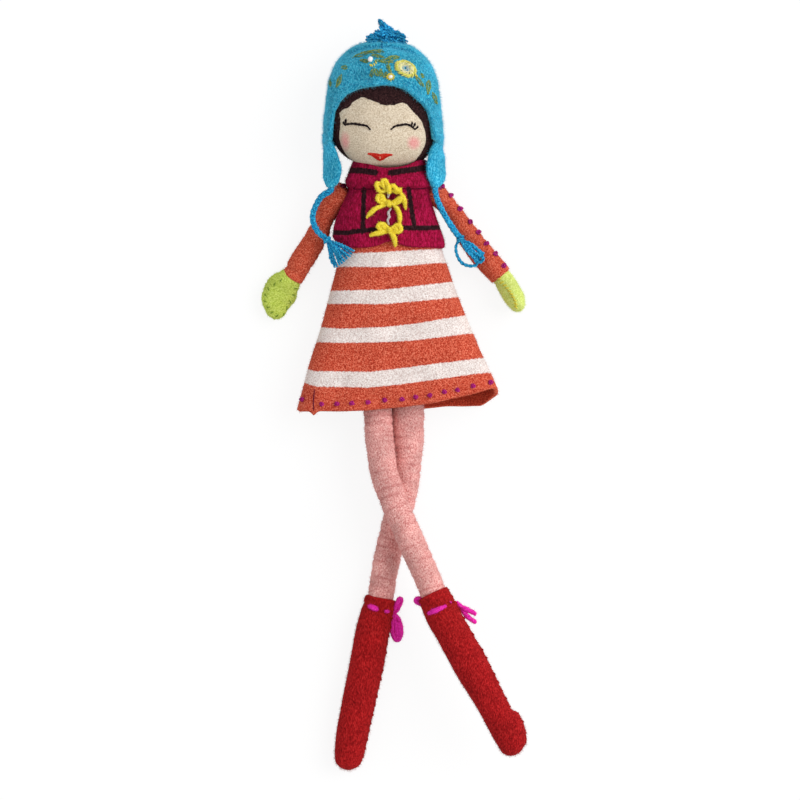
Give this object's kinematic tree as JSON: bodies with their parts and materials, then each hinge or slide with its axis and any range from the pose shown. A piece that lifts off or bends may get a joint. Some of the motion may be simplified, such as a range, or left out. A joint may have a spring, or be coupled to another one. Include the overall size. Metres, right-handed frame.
{
  "type": "knitted doll",
  "caption": "Soft knitted wool doll lying on its back in bonnet, striped dress, laced vest, mittens and boots; head, arms, crossed legs and earflaps turn at sewn joints.",
  "frame": {"origin": "on the surface that the doll lies on, under the middle of its box without the braids and tassels", "axes": "+Y from the feet to the head, +Z out of the face, +X to the doll's own left"},
  "size_m": [0.1416, 0.413, 0.0505],
  "materials": {
    "beige_knit": "heathered fine wool knit",
    "brown_felt": "fuzzy wool felt",
    "turquoise_knit": "heathered felted knit",
    "turquoise_yarn": "plied wool yarn",
    "blue_yarn": "cut wool yarn",
    "yellow_yarn": "plied wool yarn",
    "white_bead": "glossy seed bead",
    "orange_knit": "heathered wool knit, white bands on the skirt",
    "magenta_knit": "mottled wool knit with black bands",
    "lime_felt": "wool felt",
    "pink_knit": "heathered wool knit",
    "red_felt": "fuzzy wool felt",
    "hot_pink_yarn": "plied wool yarn"
  },
  "bodies": {
    "torso": {"torso": "beige_knit", "dress": "orange_knit", "vest": "magenta_knit", "vest_bow_top": "yellow_yarn", "vest_bow_middle": "yellow_yarn", "vest_bow_bottom": "yellow_yarn"},
    "neck": {"neck": "beige_knit"},
    "head": {"head": "beige_knit", "hair": "brown_felt", "hat": "turquoise_knit", "hat_pompom": "blue_yarn", "hat_flower": "yellow_yarn", "hat_bead_right": "white_bead", "hat_bead_left": "white_bead"},
    "right_earflap": {"right_earflap": "turquoise_knit", "right_braid": "turquoise_yarn", "right_tassel": "turquoise_yarn"},
    "left_earflap": {"left_earflap": "turquoise_knit", "left_braid": "turquoise_yarn", "left_tassel": "turquoise_yarn"},
    "right_arm": {"right_arm": "orange_knit", "right_mitten": "lime_felt"},
    "left_arm": {"left_arm": "orange_knit", "left_mitten": "lime_felt"},
    "right_leg": {"right_leg": "pink_knit", "right_boot": "red_felt", "right_boot_lace": "hot_pink_yarn"},
    "left_leg": {"left_leg": "pink_knit", "left_boot": "red_felt", "left_boot_lace": "hot_pink_yarn"}
  },
  "joints": [
    {"name": "neck_tilt", "type": "hinge", "parent": "torso", "child": "neck", "pos_m": [-0.00518, 0.12275, 0.0161], "axis": [0, 0, 1], "range_deg": [-8, 8], "deforming": ["right_earflap", "left_earflap", "right_braid", "left_braid", "right_tassel", "left_tassel"]},
    {"name": "head_turn", "type": "hinge", "parent": "neck", "child": "head", "pos_m": [-0.00518, 0.12275, 0.0161], "axis": [0, 1, 0], "range_deg": [-25, 25], "deforming": ["right_earflap", "left_earflap", "right_braid", "left_braid", "right_tassel", "left_tassel"]},
    {"name": "right_earflap_swing", "type": "hinge", "parent": "head", "child": "right_earflap", "pos_m": [-0.03948, 0.13745, 0.0224], "axis": [0, 0, 1], "range_deg": [-55, 0]},
    {"name": "left_earflap_swing", "type": "hinge", "parent": "head", "child": "left_earflap", "pos_m": [0.02612, 0.13745, 0.0224], "axis": [0, 0, 1], "range_deg": [0, 55]},
    {"name": "right_shoulder_swing", "type": "hinge", "parent": "torso", "child": "right_arm", "pos_m": [-0.0273, 0.11425, 0.015], "axis": [0, 0, 1], "range_deg": [-60, 0]},
    {"name": "left_shoulder_swing", "type": "hinge", "parent": "torso", "child": "left_arm", "pos_m": [0.0197, 0.11425, 0.015], "axis": [0, 0, 1], "range_deg": [0, 60]},
    {"name": "right_hip_swing", "type": "hinge", "parent": "torso", "child": "right_leg", "pos_m": [-0.00948, 0.01275, 0.0155], "axis": [0, 0, 1], "range_deg": [-38, 0]},
    {"name": "left_hip_swing", "type": "hinge", "parent": "torso", "child": "left_leg", "pos_m": [0.01032, 0.01275, 0.012], "axis": [0, 0, 1], "range_deg": [0, 33]}
  ]
}
